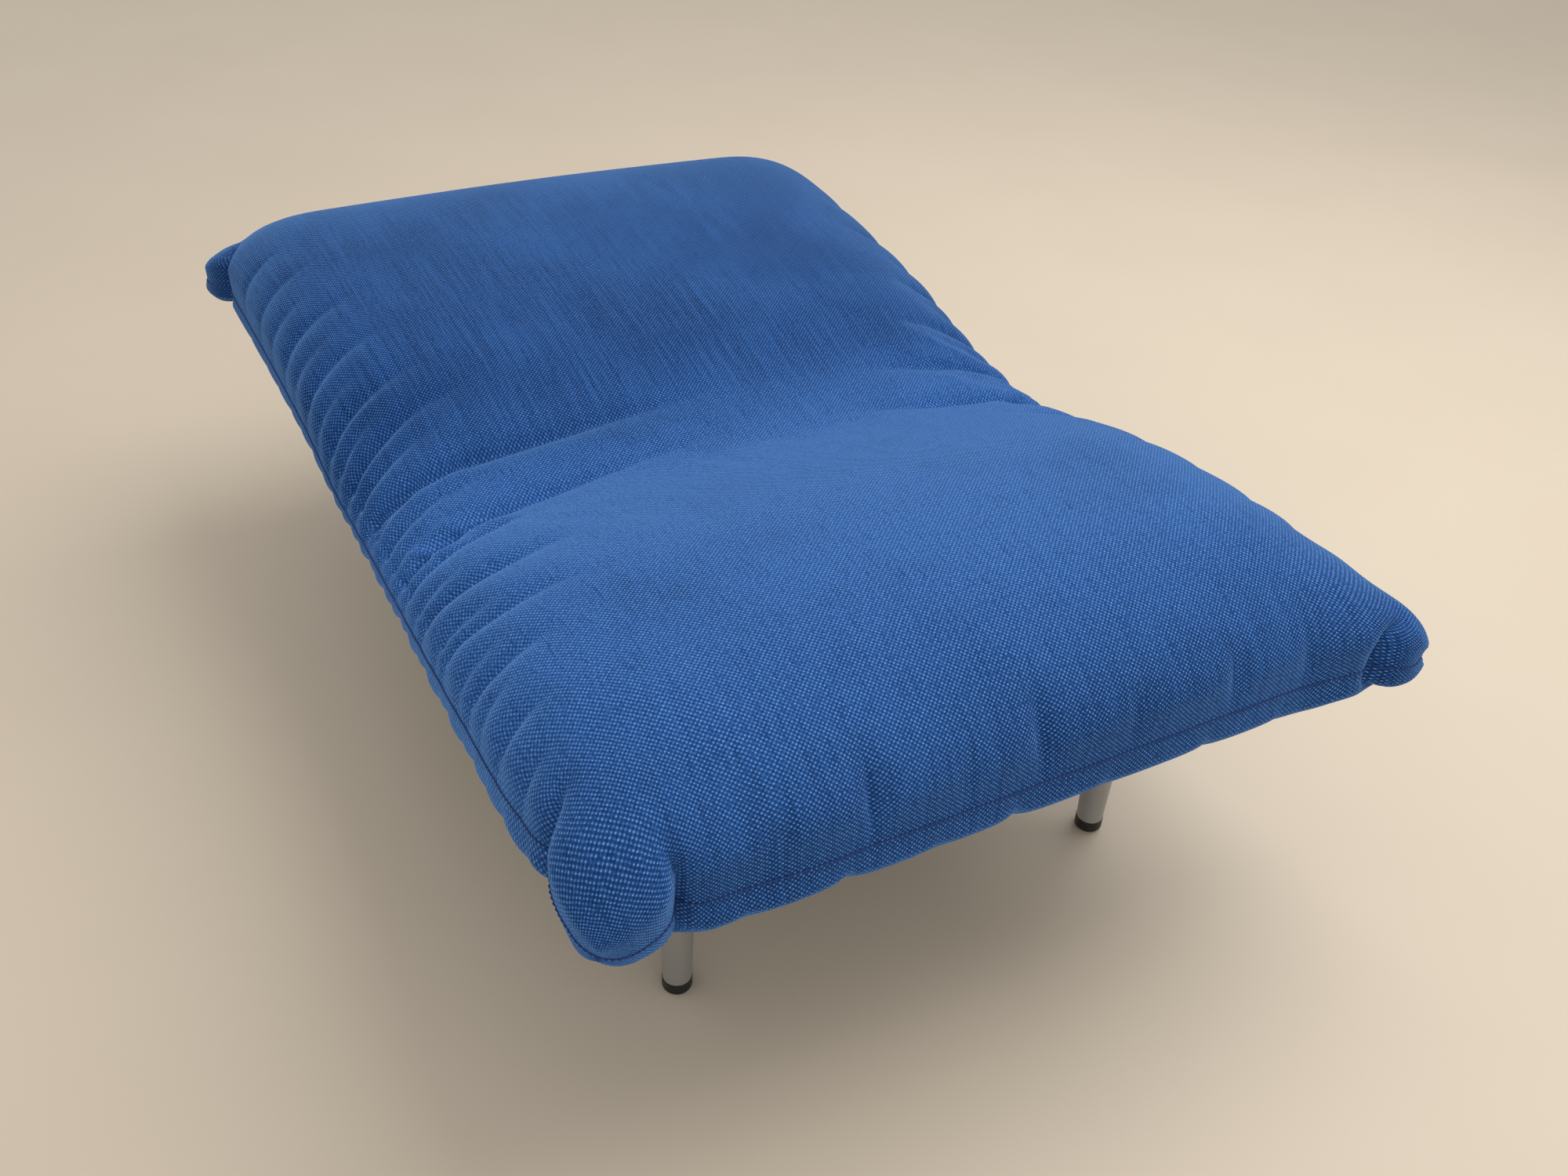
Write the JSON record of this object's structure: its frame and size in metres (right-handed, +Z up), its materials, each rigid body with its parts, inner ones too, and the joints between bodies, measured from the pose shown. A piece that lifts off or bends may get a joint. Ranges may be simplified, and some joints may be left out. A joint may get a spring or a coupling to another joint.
{
  "type": "reclining lounge chair",
  "caption": "Low armless reclining lounge chair: a thick woven-fabric quilt over a tube frame, with a ratchet back that lies down, on tapered steel legs.",
  "frame": {"origin": "on the floor, under the middle of the box round the whole chair with its back laid down", "axes": "+X across the chair, to the right seen from the front; -Y towards the front edge of the seat, +Y towards the far end of the back; +Z up"},
  "size_m": [0.7932, 1.2, 0.4184],
  "materials": {
    "quilt_fabric": "matte",
    "quilt_filling": "matte",
    "webbing": "matte",
    "frame_steel": "satin",
    "leg_steel": "satin",
    "hinge_steel": "satin",
    "zinc_fasteners": "satin",
    "black_rubber": "matte",
    "black_plastic": "matte",
    "nylon": "matte"
  },
  "bodies": {
    "base": {"base_side_rail_left": "frame_steel", "base_side_rail_right": "frame_steel", "base_front_rail": "frame_steel", "base_middle_rail": "frame_steel", "base_rear_rail": "frame_steel", "base_end_caps": "black_plastic", "leg_plate_front_left": "frame_steel", "leg_plate_front_right": "frame_steel", "leg_plate_rear_left": "frame_steel", "leg_plate_rear_right": "frame_steel", "leg_front_left": "leg_steel", "leg_front_right": "leg_steel", "leg_rear_left": "leg_steel", "leg_rear_right": "leg_steel", "leg_studs": "zinc_fasteners", "leg_nuts": "zinc_fasteners", "glide_front_left": "black_rubber", "glide_front_right": "black_rubber", "glide_rear_left": "black_rubber", "glide_rear_right": "black_rubber", "hinge_base_plate_left": "hinge_steel", "hinge_base_plate_right": "hinge_steel", "pawl_pin_left": "zinc_fasteners", "pawl_pin_right": "zinc_fasteners", "pawl_spring_left": "hinge_steel", "pawl_spring_right": "hinge_steel", "pivot_bolt_left": "zinc_fasteners", "pivot_bolt_right": "zinc_fasteners", "pivot_nuts": "zinc_fasteners", "pivot_washers": "nylon", "back_buffers": "black_rubber", "seat_webbing_long": "webbing", "seat_webbing_cross": "webbing", "seat_cover": "quilt_fabric", "seat_filling": "quilt_filling", "bend_cover": "quilt_fabric", "bend_filling": "quilt_filling"},
    "backrest": {"back_side_rail_left": "frame_steel", "back_side_rail_right": "frame_steel", "back_bottom_rail": "frame_steel", "back_middle_rail": "frame_steel", "back_top_rail": "frame_steel", "back_end_caps": "black_plastic", "hinge_tooth_plate_left": "hinge_steel", "hinge_tooth_plate_right": "hinge_steel", "back_webbing_long": "webbing", "back_webbing_cross": "webbing", "back_cover": "quilt_fabric", "back_filling": "quilt_filling"},
    "left_pawl": {"pawl_left": "hinge_steel"},
    "right_pawl": {"pawl_right": "hinge_steel"}
  },
  "joints": [
    {"name": "back_recline", "type": "hinge", "parent": "base", "child": "backrest", "pos_m": [0, -0.07, 0.225], "axis": [1, 0, 0], "range_deg": [0, 70], "deforming": ["bend_cover", "bend_filling"]},
    {"name": "left_pawl_pivot", "type": "hinge", "parent": "base", "child": "left_pawl", "pos_m": [-0.216, -0.036, 0.199], "axis": [-1, 0, 0], "range_deg": [0, 9]},
    {"name": "right_pawl_pivot", "type": "hinge", "parent": "base", "child": "right_pawl", "pos_m": [0.216, -0.036, 0.199], "axis": [-1, 0, 0], "range_deg": [0, 9]}
  ]
}
